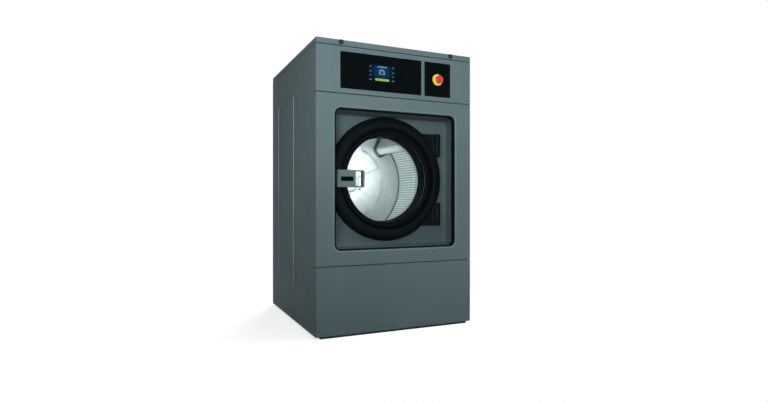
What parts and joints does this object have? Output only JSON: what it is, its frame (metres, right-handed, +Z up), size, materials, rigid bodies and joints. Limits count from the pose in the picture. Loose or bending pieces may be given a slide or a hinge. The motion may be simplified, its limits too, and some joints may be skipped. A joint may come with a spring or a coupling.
{
  "type": "industrial washing machine",
  "caption": "Upright front-loading industrial washer: coated steel cabinet, recessed round glass door with side handle, perforated drum, belt drive, emergency stop and rear connections.",
  "frame": {"origin": "on the floor, under the middle of the part's box", "axes": "+X to the user's right, +Y towards the back (the door faces -Y), +Z up"},
  "size_m": [0.788, 0.896, 1.307],
  "materials": {
    "coated_steel": "grey-green satin powder coat on sheet steel",
    "frame_steel": "dark satin paint on welded steel",
    "stainless": "brushed stainless sheet",
    "galvanised": "plain zinc-plated steel",
    "black_gloss": "black gloss panel",
    "black_moulding": "black satin moulding",
    "handle_grey": "grey satin moulding",
    "grey_plastic": "light grey moulding",
    "black_rubber": "black rubber",
    "clear_glass": "clear pressed glass",
    "cast_metal": "painted casting",
    "cast_alloy": "machined alloy casting",
    "brass": "turned brass",
    "yellow_plastic": "yellow gloss moulding",
    "red_plastic": "red gloss moulding"
  },
  "bodies": {
    "cabinet": {"base_frame": "frame_steel", "corner_posts": "frame_steel", "top_frame": "frame_steel", "tub_cradles": "frame_steel", "left_side_panel": "coated_steel", "right_side_panel": "coated_steel", "back_panel": "coated_steel", "panel_screws": "galvanised", "top_cover": "coated_steel", "lid_clips": "black_moulding", "control_fascia": "coated_steel", "display_glass": "black_gloss", "estop_plate": "black_gloss", "display_module": "grey_plastic", "control_box": "galvanised", "estop_collar": "yellow_plastic", "estop_block": "grey_plastic", "front_panel": "coated_steel", "lower_front_panel": "coated_steel", "opening_trim": "black_rubber", "recess_pan": "coated_steel", "outer_tub": "stainless", "heating_elements": "stainless", "door_gasket": "black_rubber", "bearing_housing": "cast_metal", "shaft_bearings": "galvanised", "shaft_seal": "black_rubber", "motor_housing": "cast_alloy", "motor_bracket": "frame_steel", "drive_belt": "black_rubber", "inverter_box": "grey_plastic", "terminal_box": "grey_plastic", "cable_gland": "grey_plastic", "vent_pipe": "grey_plastic", "inlet_valves": "brass", "drain_elbow": "grey_plastic", "drain_valve_body": "grey_plastic", "drain_actuator": "black_moulding", "hinge_brackets": "frame_steel", "hinge_pins": "galvanised", "door_lock": "grey_plastic"},
    "drum": {"drum_shell": "stainless", "drum_back": "stainless", "drum_lifters": "stainless", "drum_spider": "cast_alloy", "drum_shaft": "galvanised", "drum_pulley": "cast_alloy"},
    "rotor": {"motor_rotor": "galvanised", "motor_pulley": "cast_alloy"},
    "door": {"door_frame": "stainless", "door_ring": "black_moulding", "glass_bezel": "black_moulding", "door_glass": "clear_glass", "glass_seal": "black_rubber", "latch_housing": "black_moulding", "handle_pin": "galvanised"},
    "handle": {"door_handle": "handle_grey"},
    "stop_stem": {"estop_stem": "red_plastic"},
    "stop_head": {"estop_head": "red_plastic"},
    "drain_gate": {"drain_disc": "stainless"}
  },
  "joints": [
    {"name": "door_hinge", "type": "hinge", "parent": "cabinet", "child": "door", "pos_m": [0.268, -0.317, 0.705], "axis": [0, 0, 1], "range_deg": [0, 95]},
    {"name": "handle_pivot", "type": "hinge", "parent": "door", "child": "handle", "pos_m": [-0.268, -0.321, 0.705], "axis": [0, 0, -1], "range_deg": [0, 12], "stiffness_Nm_per_rad": 4},
    {"name": "stop_push", "type": "slide", "parent": "cabinet", "child": "stop_stem", "axis": [0, 1, 0], "range_m": [0, 0.004]},
    {"name": "stop_twist", "type": "hinge", "parent": "stop_stem", "child": "stop_head", "pos_m": [0.2075, -0.44, 1.176], "axis": [0, 1, 0], "range_deg": [0, 45], "stiffness_Nm_per_rad": 0.1},
    {"name": "drum_spin", "type": "hinge", "parent": "cabinet", "child": "drum", "pos_m": [0, 0.236, 0.705], "axis": [0, 1, 0], "continuous": true},
    {"name": "motor_spin", "type": "hinge", "parent": "cabinet", "child": "rotor", "pos_m": [0.2, 0.236, 0.23], "axis": [0, 1, 0], "continuous": true},
    {"name": "drain_turn", "type": "hinge", "parent": "cabinet", "child": "drain_gate", "pos_m": [0, 0.205, 0.19], "axis": [0, 0, 1], "range_deg": [0, 90]}
  ],
  "couplings": [
    {"joint": "motor_spin", "follows": "drum_spin", "ratio": 5}
  ]
}
